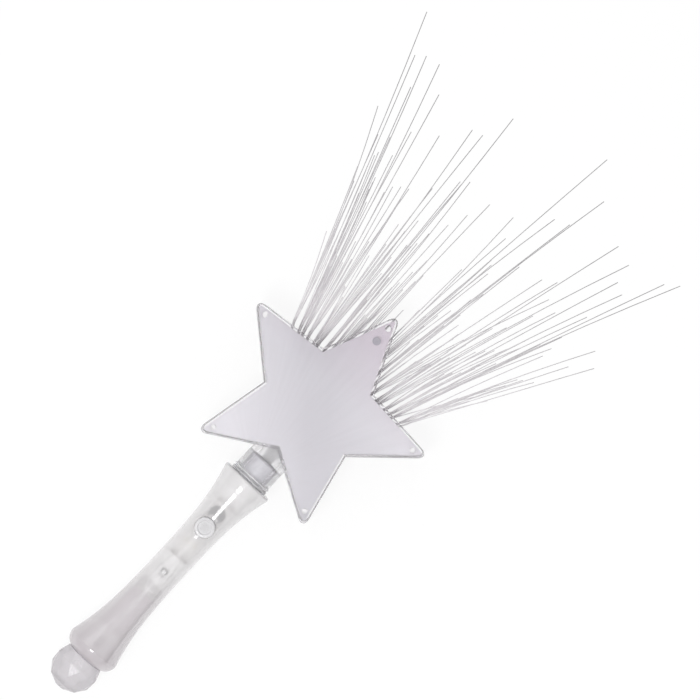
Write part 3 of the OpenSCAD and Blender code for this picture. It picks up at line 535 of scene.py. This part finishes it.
class STARWAND_OT_insides(bpy.types.Operator):
    """Finishes of the pieces inside the handle, and of the screws"""

    bl_idname = "star_wand.insides"
    bl_label = "Batteries, board, lamps, wires and screws"

    def execute(self, context):
        # Grey polystyrene, moulded: cool grey and slightly shiny
        dress(moulded("grey_polystyrene_moulded", "#C4B6C0", "#D0C3CC", cloud_mm=5, grain_mm=0.4,
                      grain_share=0.1, rough=0.35), "battery_tray")
        # White polystyrene, moulded: off-white and slightly shiny
        dress(moulded("white_polystyrene_moulded", "#E6E6E6", "#F0F0F0", cloud_mm=5, grain_mm=0.4,
                      grain_share=0.1, rough=0.35), "switch_plunger", "led_holder")
        # Natural polypropylene, moulded: milky white
        dress(moulded("natural_polypropylene_moulded", "#C6C5CA", "#DEDDE1", cloud_mm=2, grain_mm=0.4,
                      grain_share=0.2, rough=0.4), "fibre_collar")
        # Zinc-plated steel, rolled thread and pressed head: cool grey with uneven gloss
        dress(moulded("zinc_plated_steel", "#D2D4D7", "#E6E7E9", cloud_mm=1.5, grain_mm=0.3,
                      grain_share=0.1, rough=0.55, metallic=1.0), "handle_screws", "battery_door_screw")
        # Nickel-plated steel can, deep drawn: bright with faint clouds
        dress(moulded("nickel_plated_can", "#B7B4B0", "#CFCCC7", cloud_mm=4, grain_mm=0.3,
                      grain_share=0.05, rough=0.22, metallic=1.0), "button_cells")
        # Brass strip, stamped: warm yellow, a little dulled by handling
        dress(moulded("stamped_brass", "#B99A55", "#D2B36C", cloud_mm=3, grain_mm=0.3, grain_share=0.1,
                      rough=0.28, metallic=1.0), "negative_contact", "positive_contact")
        # PVC insulation, extruded: white with a soft shine
        dress(moulded("white_pvc_extruded", "#E2E2E0", "#EEEEEC", cloud_mm=3, grain_mm=0.3,
                      grain_share=0.1, rough=0.4), "positive_wire", "negative_wire", "led_wires")
        # Paper-based laminate, pressed and left undyed: pale with fine fibres
        dress(moulded("paper_phenolic_laminate", "#E4E2E0", "#ECEAE9", cloud_mm=1.2, grain_mm=0.25,
                      grain_share=0.2, rough=0.5), "circuit_board")
        # Black epoxy, cast: a domed, glossy dark drop
        dress(moulded("black_epoxy_cast", "#10141E", "#1A2030", cloud_mm=2, grain_mm=0.4,
                      grain_share=0.1, rough=0.25), "chip_blob", "switch_body")
        # Lacquered ceramic, dipped: cream with a soft shine
        dress(moulded("lacquered_ceramic", "#DCD6CC", "#E8E3DA", cloud_mm=1, grain_mm=0.3,
                      grain_share=0.1, rough=0.35), "resistors")
        # Clear epoxy, cast: the lens of a small lamp
        dress(moulded("clear_epoxy_cast", "#EDEDF2", "#F6F6FA", cloud_mm=3, grain_mm=0.4,
                      grain_share=0.02, rough=0.06, ior=1.55, transmission_weight=0.9), "leds")
        return {"FINISHED"}


# ---------------------------------------------------------------------------------------------------
# Star
# ---------------------------------------------------------------------------------------------------

def star_edge_r(s):
    """Radii of the star's sharp tips and of its notches."""
    half = s.point_angle / 2
    sharp = s.star_r - s.tip_round + s.tip_round / math.sin(half)
    return sharp, sharp * math.sin(half) / math.sin(half + math.pi / STAR_POINTS)


def star_half(s, pegs):
    """The front half of the star's shell: a rounded plate with walls, pegs and openings."""
    sharp, notch = star_edge_r(s)
    half_t = s.star_t / 2
    bm = bmesh.new()
    middle = spot(0, s.star_up, SEAM)
    corners = bmesh.ops.create_circle(bm, cap_ends=True, segments=2 * STAR_POINTS, radius=sharp,
                                      matrix=Matrix.Translation(middle))["verts"]
    for corner in corners[1::2]:
        corner.co = middle + (corner.co - middle) * notch / sharp
    raise_faces(bm, bm.faces[:], half_t - SEAM, keep=True)
    bmesh.ops.recalc_face_normals(bm, faces=bm.faces)
    # Round each tip with an arc that ends where the solid's does
    past_tip = (sharp - s.star_r) / (2 * (1 - math.sqrt(0.5)) * math.cos(s.point_angle / 2))
    uprights = [e for e in bm.edges if abs(e.verts[0].co.z - e.verts[1].co.z) > half_t / 2
                and (e.verts[0].co - middle).xy.length > (sharp + notch) / 2]
    bevel(bm, uprights, past_tip, 12)
    # Hollow it from the seam, and round its outer edge
    inside = [f for f in bm.faces if f.normal.z < -0.9]
    bmesh.ops.inset_region(bm, faces=inside, thickness=s.star_wall, use_even_offset=True)
    raise_faces(bm, inside, half_t - s.star_wall - SEAM, keep=False)
    rim = [e for e in bm.edges if all(v.co.z > SPLIT_Z + half_t - 1e-6 for v in e.verts)]
    bevel(bm, rim, s.star_edge, 3)
    bmesh.ops.recalc_face_normals(bm, faces=bm.faces)
    # Pegs near the tips
    studs = bmesh.new()
    for i in range(STAR_POINTS):
        turn = Matrix.Rotation(i * math.tau / STAR_POINTS, 3, "Z")
        foot = middle + turn @ Vector((0, s.peg_ring_r, 0))
        rod(studs, foot, foot + Vector((0, 0, half_t - s.star_wall / 2)), pegs / 2, 24)
    bm = carve(bm, studs, "UNION")
    # Opening for the neck
    hole = bmesh.new()
    gap = 0.2 * MM
    rod(hole, spot(0, s.neck_top - s.neck_d * 2, 0), spot(0, s.neck_top + gap, 0), s.neck_d / 2 + gap, 64)
    bm = carve(bm, hole, "DIFFERENCE")
    # Slots that the fibres leave by, one on each side of the top point
    slot_half = LAYERS * ROOT_PITCH * SLOT_ROOM / 2
    for side in (-1, 1):
        slot = bmesh.new()
        foot = spot(0, s.star_up - notch, -slot_half)
        ways = [Vector((side * math.sin(a), math.cos(a), 0)) * 2 * s.star_r for a in SLOT_ANGLES]
        slot.faces.new([slot.verts.new(foot + way) for way in [Vector()] + ways])
        raise_faces(slot, slot.faces[:], 2 * slot_half, keep=True)
        bmesh.ops.recalc_face_normals(slot, faces=slot.faces)
        bm = carve(bm, slot, "DIFFERENCE")
    return bm


def steep(face):
    """Whether a face belongs to the star's edge, away from the neck."""
    s = sizes()
    at_neck = abs(face.center.x) < s.neck_d / 2 + 1 * MM and face.center.y < y_at(s.star_up)
    return abs(face.normal.z) < 0.98 and not at_neck


class STARWAND_OT_star(bpy.types.Operator):
    """Clear halves of the star, with rounded edges, pegs and a moulding mark"""

    bl_idname = "star_wand.star"
    bl_label = "Star halves"

    def execute(self, context):
        s = sizes()
        front = star_half(s, s.peg_d)
        mark = bmesh.new()
        mark_depth, above = Vector((0, 0, 0.3 * MM)), Vector((0, 0, 1 * MM))
        top = spot(0, s.star_up + s.gate_ring_r, s.star_t / 2)
        rod(mark, top - mark_depth, top + above, s.gate_d / 2, 40)
        front = carve(front, mark, "DIFFERENCE")
        plate = clear_plastic("clear_polystyrene_plate", 0.75)
        rim = clear_plastic("clear_polystyrene_rim", 0.15)
        # Ground polystyrene: a dull grey spot where the moulding was cut from its feed
        ground = moulded("ground_polystyrene", "#A5A2AB", "#BAB7C0", cloud_mm=1.5, grain_mm=0.3,
                         grain_share=0.4, rough=0.6, see_through=0.3)
        shell = piece("star_front_half", front, plate, "clear_plastic", "wand", "star_front_shell",
                      angle=13)
        repaint(shell, rim, steep)
        repaint(shell, ground, lambda f: (f.center - top).length < s.gate_d / 2)
        # The back half mirrors the front, with wider pegs that take the front's
        back = star_half(s, s.peg_d + 0.4 * MM)
        bmesh.ops.scale(back, verts=back.verts, vec=(1, 1, -1),
                        space=Matrix.Translation((0, 0, -SPLIT_Z)))
        bmesh.ops.reverse_faces(back, faces=back.faces)
        shell = piece("star_back_half", back, plate, "clear_plastic", "wand", "star_back_shell",
                      angle=13)
        repaint(shell, rim, steep)
        return {"FINISHED"}


class STARWAND_OT_film(bpy.types.Operator):
    """Satin film on both sides of the star's inside"""

    bl_idname = "star_wand.film"
    bl_label = "Satin film"

    def execute(self, context):
        # Brushed polyester film: a satin grey with a lavender cast and faint streaks that fan out from
        # the neck
        s = sizes()
        material, tree, surface, coords = finish("satin_polyester_film", ior=1.57, roughness=0.42,
                                                 coat_weight=0.2, coat_roughness=0.2)
        start = spot(0, s.neck_top - 20 * MM, 0)
        from_start = vector_calc(tree, "SUBTRACT", coords, start)
        part = add(tree, "SeparateXYZ", {"Vector": from_start})
        turn = calc(tree, "ARCTAN2", part.outputs["X"], part.outputs["Y"])
        away = vector_calc(tree, "LENGTH", from_start, output="Value")
        # Streaks about 1.5 mm wide in the middle of the star, 45 mm from their start, and 40 mm long
        streak_w, middle_away, streak_len = 1.5 * MM, 45 * MM, 40 * MM
        lane = add(tree, "CombineXYZ", {"X": calc(tree, "MULTIPLY", turn, middle_away / streak_w),
                                        "Y": calc(tree, "MULTIPLY", away, 1 / streak_len)})
        streaks = noise(tree, lane.outputs["Vector"], 1, 2.0)
        clouds = noise(tree, coords, 30 * MM, 1.0)
        both = add(tree, "Mix", {0: 0.6, 2: clouds, 3: streaks}).outputs[0]
        tone = colours().film
        satin = blend(tree, both, rgba([c * 0.86 for c in tone]), rgba(tone))
        # Painted shade: darker in a band down the middle, as the camera sees the star, and paler towards the
        # two side points; it is also a little rosy towards the top one
        from_middle = vector_calc(tree, "SUBTRACT", coords, spot(0, s.star_up, 0))
        side = vector_calc(tree, "DOT_PRODUCT", from_middle, IMAGE_RIGHT, output="Value")
        painted_middle_shade = ramp(tree, calc(tree, "ABSOLUTE", side), 5 * MM, 40 * MM, 1.0, 0.0)
        rosy = ramp(tree, axis(tree, from_middle, "Y"), 10 * MM, 45 * MM)
        satin = blend(tree, painted_middle_shade, satin, linear("#E9E9EA"), "MULTIPLY")
        satin = blend(tree, rosy, satin, linear("#EFE7EC"), "MULTIPLY")
        tree.links.new(satin, surface.inputs["Base Color"])
        tree.links.new(bumped(tree, streaks, 0.08, 0.1 * MM), surface.inputs["Normal"])
        dress(material, "front_insert", "back_insert")
        return {"FINISHED"}


# ---------------------------------------------------------------------------------------------------
# Fibres and ball
# ---------------------------------------------------------------------------------------------------

def fibre_route(s, shares, tuft, k):
    """The smooth path of one fibre: up the collar, in a lazy bend to the slot, and out to its tip."""
    root_share, tip_share, rise_share = shares
    points, bow, most_sag, reach_spread = 6, 0.1, 3 * MM, 0.4
    chance = (tuft * len(REACH_SHARES) + k) * GOLDEN_SHARE % 1
    layer = COLUMN_TUFTS * k + tuft % COLUMN_TUFTS - (LAYERS - 1) / 2
    column = tuft // COLUMN_TUFTS - (COLUMNS - 1) / 2
    reach = 1 if k == 0 else REACH_SHARES[k] * (1 + reach_spread * (chance - 0.5))
    root_up = s.star_up + ROOT_SHARE * star_edge_r(s)[1]
    rise = rise_share * (s.star_up + s.spray_top - root_up) * reach
    lean = tip_share * s.spray_half_w - root_share * s.root_half_w
    sag = (0.5 - chance) * most_sag * reach
    root = Vector(((root_share + STEP_SHARES[k]) * s.root_half_w, -layer * ROOT_PITCH))
    bunch = round(root.x / BUNCH)
    pull = BUNCH_PULL * ((bunch + BUNCH_DRIFT * math.sin(BUNCH_TURN * bunch)) * BUNCH - root.x)
    root.x += pull
    run = Vector((lean * LEAN_SHARES[k] * reach - pull, -layer * TIP_PITCH * reach))
    start = Vector((column * COLLAR_PITCH, -layer * COLLAR_PITCH))
    slope = Vector((run.x * (1 - bow), run.y)) * (root_up - s.collar_high) / rise
    path = [spot(start.x, s.fibre_low, start.y)]
    for i in range(points + 1):
        t = i / points
        flat = start.lerp(root, 3 * t * t - 2 * t ** 3) + slope * (t ** 3 - t * t)
        path.append(spot(flat.x, s.collar_high + (root_up - s.collar_high) * t, flat.y))
    for i in range(1, points + 1):
        u = i / points
        path.append(spot(root.x + run.x * (u + (u * u - u) * bow) + sag * math.sin(math.pi * u),
                         root_up + rise * u, root.y + run.y * u))
    return path


class STARWAND_OT_fibres(bpy.types.Operator):
    """Spray of fine fibres that fans out of the star"""

    bl_idname = "star_wand.fibres"
    bl_label = "Fibre spray"

    def execute(self, context):
        s = sizes()
        bm = self.tubes(s)
        # The disc of glue that holds the fibres' lower ends over the lamps
        glue_low, glue_high, glue_r = 116 * MM, 119.5 * MM, 4.4 * MM
        rod(bm, spot(0, glue_low, 0), spot(0, glue_high, 0), glue_r, 40)
        fan = piece("fibre_fan", bm, self.drawn(s), "fibre_acrylic", "wand", "fibre_spray", angle=70)
        # The same fibre in a tight bundle with glue between: pale, because light strays through all of it
        bundle = moulded("acrylic_fibre_bundled", "#F2F1F3", "#FFFFFF", cloud_mm=3, grain_mm=0.4,
                         grain_share=0.05, rough=0.2, ior=1.49)
        bundle_high = y_at(s.star_up - 10 * MM)
        repaint(fan, bundle, lambda f: f.center.y < bundle_high)
        # Clear fibres pass light on, so they don't darken each other
        fan.visible_shadow = False
        return {"FINISHED"}

    def drawn(self, s):
        # Drawn acrylic fibre: clear, so it shows as a thin grey line with a bright thread of light
        material, tree, surface, coords = finish("acrylic_fibre_drawn", ior=1.49, roughness=0.3,
                                                 coat_weight=0.5)
        # Painted light and shade: pale near the star, where they are many, and darker out at the tips; lanes
        # 1.5 mm wide and 60 mm long give each fibre its own tone
        tone = colours().fibre
        out = zone(tree, axis(tree, coords, "Y"), s.star_up + 20 * MM, s.star_up + 140 * MM)
        grey = blend(tree, out, rgba(tone), rgba([c * 0.4 for c in tone]))
        lane_w, lane_len = 1.5 * MM, 60 * MM
        lane = vector_calc(tree, "MULTIPLY", coords, (1 / lane_w, 1 / lane_len, 1 / lane_w))
        grey = blend(tree, noise(tree, lane, 1, 1.0), grey, linear("#D2D0D3"), "MULTIPLY")
        tree.links.new(grey, surface.inputs["Base Color"])
        return material

    def tubes(self, s):
        """The fibres, as tubes along their paths."""
        paths = [fibre_route(s, shares, tuft, k) for tuft, shares in enumerate(TUFTS)
                 for k in range(len(REACH_SHARES))]
        # More between the tufts make the spray fuller: short ones in the wide gaps, longer ones elsewhere
        for tuft, pair in enumerate(zip(TUFTS, TUFTS[1:])):
            shares = [(a + b) / 2 for a, b in zip(*pair)]
            wide = pair[1][0] - pair[0][0] > WIDE_GAP
            paths += [fibre_route(s, shares, tuft + 0.5, k) for k in ((2, 3) if wide else (1,))]
        curve = bpy.data.curves.new("fibre_paths", "CURVE")
        curve.dimensions = "3D"
        curve.bevel_depth = s.fibre_d / 2
        curve.bevel_resolution = 1
        curve.use_fill_caps = True
        for path in paths:
            spline = curve.splines.new("POLY")
            spline.points.add(len(path) - 1)
            for point, place in zip(spline.points, path):
                point.co = (*place, 1)
        holder = placed("fibre_paths", curve)
        bm = bmesh.new()
        bm.from_mesh(holder.to_mesh())
        holder.to_mesh_clear()
        bpy.data.objects.remove(holder)
        bpy.data.curves.remove(curve)
        return bm


class STARWAND_OT_ball(bpy.types.Operator):
    """Faceted ball on the handle's foot"""

    bl_idname = "star_wand.ball"
    bl_label = "Faceted ball"

    def execute(self, context):
        s = sizes()
        # Acrylic, moulded with polished facets: greyish clear with a violet cast and bright glints
        tone = colours().ball
        acrylic = moulded("tinted_acrylic_faceted", [c * 0.9 for c in tone], tone, cloud_mm=4, grain_mm=2,
                          grain_share=0.02, rough=0.17, ior=1.45, specular_ior_level=0.2,
                          transmission_weight=0.55, see_through=0.3)
        radius = s.ball_d / 2
        # The facets go from a flat table at the far end to the seat on the handle
        table, seat = math.radians(-78), math.asin(s.ball_drop / radius)
        # Rows of corners round the wand's length, each turned by half a facet from the last
        bm = bmesh.new()
        upright = Matrix.Rotation(math.radians(-90), 4, "X")
        for row in range(s.facet_rows + 1):
            level = table + (seat - table) * row / s.facet_rows
            turn = Matrix.Rotation(row % 2 * math.pi / s.facet_count, 4, "Y")
            place = Matrix.Translation(spot(0, radius * math.sin(level) - s.ball_drop, 0))
            bmesh.ops.create_circle(bm, segments=s.facet_count, radius=radius * math.cos(level),
                                    matrix=place @ turn @ upright)
        bmesh.ops.convex_hull(bm, input=bm.verts)
        bmesh.ops.delete(bm, geom=[e for e in bm.edges if not e.link_faces], context="EDGES")
        bmesh.ops.recalc_face_normals(bm, faces=bm.faces)
        bevel(bm, bm.edges, s.facet_edge, 1)
        # Stem and flange that hold it in the handle's floor: lower end, upper end and radius in mm
        for low, high, stem_r in ((0.03, 3.2, 3.5), (3.22, 4.8, 5.5)):
            rod(bm, spot(0, low * MM, 0), spot(0, high * MM, 0), stem_r * MM, 40)
        piece("faceted_glass_ball", bm, acrylic, "ball_acrylic", "wand", "faceted_ball", angle=12)
        return {"FINISHED"}


# ---------------------------------------------------------------------------------------------------
# Stage
# ---------------------------------------------------------------------------------------------------

class STARWAND_OT_stage(bpy.types.Operator):
    """Pale floor, soft studio light and the camera"""

    bl_idname = "star_wand.stage"
    bl_label = "Floor, light and camera"

    def execute(self, context):
        scene = context.scene
        scene.view_settings.view_transform = "Standard"
        self.floor()
        self.world(scene)
        self.lamps()
        # The camera looks straight down, turned so that the wand leans to the upper right
        lens = bpy.data.cameras.new("photo_camera")
        camera_x, camera_y, camera_up, across = -6.5 * MM, 194.5 * MM, 1.6, 336 * MM
        lens.sensor_width = 36
        lens.lens = lens.sensor_width * camera_up / across
        camera = placed("photo_camera", lens)
        camera.location = spot(camera_x, camera_y, camera_up)
        camera.rotation_euler = (0, 0, CAMERA_TURN)
        scene.camera = camera
        return {"FINISHED"}

    def floor(self):
        # Matt painted board: white, with a hardly visible tooth
        paint = moulded("matt_white_board", colours().floor, colours().floor, cloud_mm=40, grain_mm=1.5,
                        grain_share=0.02, rough=0.9, specular_ior_level=0.0)
        # To the eye, and in gloss and clear plastic, most of it is plain white, so that the wand's shadow
        # stays faint
        plain_share = 0.87
        tree = paint.node_tree
        ray = add(tree, "LightPath").outputs
        seen = calc(tree, "MAXIMUM", ray["Is Camera Ray"], ray["Is Glossy Ray"])
        seen = calc(tree, "MAXIMUM", seen, ray["Is Transmission Ray"])
        plain = add(tree, "Emission", {"Color": rgba(colours().floor)}).outputs["Emission"]
        surface = node_of(tree, "OUTPUT_MATERIAL").inputs["Surface"]
        board = surface.links[0].from_socket
        mixed = add(tree, "MixShader", {0: calc(tree, "MULTIPLY", seen, plain_share), 1: board, 2: plain})
        tree.links.new(mixed.outputs["Shader"], surface)
        half_size, gap = 4, 0.2 * MM
        bm = bmesh.new()
        bmesh.ops.create_grid(bm, x_segments=8, y_segments=8, size=half_size,
                              matrix=Matrix.Translation((0, 0, CAD_BOX[0][2] - gap)))
        mesh = mesh_of("floor", bm)
        mesh.materials.append(paint)
        ground = placed("floor", mesh)

    def world(self, scene):
        # A pale room: bright overhead and dimmer towards the horizon, which gives clear plastic its edges
        horizon, overhead, wall = 0.6, 0.84, 0.95
        world = bpy.data.worlds.new("pale_room")
        scene.world = world
        world.use_nodes = True
        tree = world.node_tree
        tree.nodes.clear()
        ways = add(tree, "TexCoord").outputs["Generated"]
        up = axis(tree, ways, "Z")
        level = ramp(tree, up, 0, 1, horizon, overhead, interpolation_type="SMOOTHSTEP")
        # A grey card low on the side that the spray leans to, so the star's edges there show as dark lines
        side = vector_calc(tree, "DOT_PRODUCT", ways, IMAGE_RIGHT, output="Value")
        card = calc(tree, "MULTIPLY", ramp(tree, side, 0.1, 0.7), ramp(tree, up, 0.5, 0.2))
        # Gloss and clear plastic show it in full, dull faces half as much
        card_in_gloss, card_on_dull = 0.03, 0.55
        ray = add(tree, "LightPath").outputs
        dark = ramp(tree, ray["Is Diffuse Ray"], 0, 1, card_in_gloss, card_on_dull)
        room = calc(tree, "MULTIPLY", level, ramp(tree, card, 0, 1, 1.0, dark))
        # The eye itself sees a plain pale wall
        light = add(tree, "Mix", {0: ray["Is Camera Ray"], 2: room, 3: wall}).outputs[0]
        sky = add(tree, "Background", {"Color": linear("#FFFFFF"), "Strength": light})
        add(tree, "OutputWorld", {"Surface": sky.outputs["Background"]})

    def lamps(self):
        # A wide soft light from one side, and a smaller one from past the foot: place, target, size, power
        for name, place, target, wide, high, power in (
            ("fill_softbox", (-0.9, 0.7, 1.5), (0, 0, 0), 1.1, 1.1, 1.8),
            ("key_softbox", (0, -0.42, 1.0), (0, -0.08, 0.02), 0.28, 0.42, 3.8),
        ):
            lamp = bpy.data.lights.new(name, "AREA")
            lamp.shape, lamp.size, lamp.size_y, lamp.energy = "RECTANGLE", wide, high, power
            made = placed(name, lamp)
            made.location = place
            made.rotation_euler = (Vector(place) - Vector(target)).to_track_quat("Z", "Y").to_euler()
            made.visible_camera = False


# ---------------------------------------------------------------------------------------------------
# Panel and registration
# ---------------------------------------------------------------------------------------------------

STEPS = (STARWAND_OT_stage, STARWAND_OT_handle, STARWAND_OT_button, STARWAND_OT_neck, STARWAND_OT_insides,
         STARWAND_OT_star, STARWAND_OT_film, STARWAND_OT_fibres, STARWAND_OT_ball)


class STARWAND_PT_panel(bpy.types.Panel):
    """Lists the wand's sizes, colours and pieces"""

    bl_idname = "STARWAND_PT_panel"
    bl_label = "Star wand"
    bl_space_type = "VIEW_3D"
    bl_region_type = "UI"
    bl_category = "Star wand"

    def draw(self, context):
        for group in (context.scene.star_wand_sizes, context.scene.star_wand_colours):
            box = self.layout.box()
            for name in group.__annotations__:
                box.prop(group, name)
        for step in STEPS:
            self.layout.operator(step.bl_idname)


CLASSES = (StarWandSizes, StarWandColours, *STEPS, STARWAND_PT_panel)


def register():
    for cls in CLASSES:
        bpy.utils.register_class(cls)
    bpy.types.Scene.star_wand_sizes = PointerProperty(type=StarWandSizes)
    bpy.types.Scene.star_wand_colours = PointerProperty(type=StarWandColours)


def unregister():
    del bpy.types.Scene.star_wand_colours
    del bpy.types.Scene.star_wand_sizes
    for cls in reversed(CLASSES):
        bpy.utils.unregister_class(cls)


def main():
    register()
    for step in STEPS:
        group, name = step.bl_idname.split(".")
        getattr(getattr(bpy.ops, group), name)()


if __name__ == "__main__":
    main()
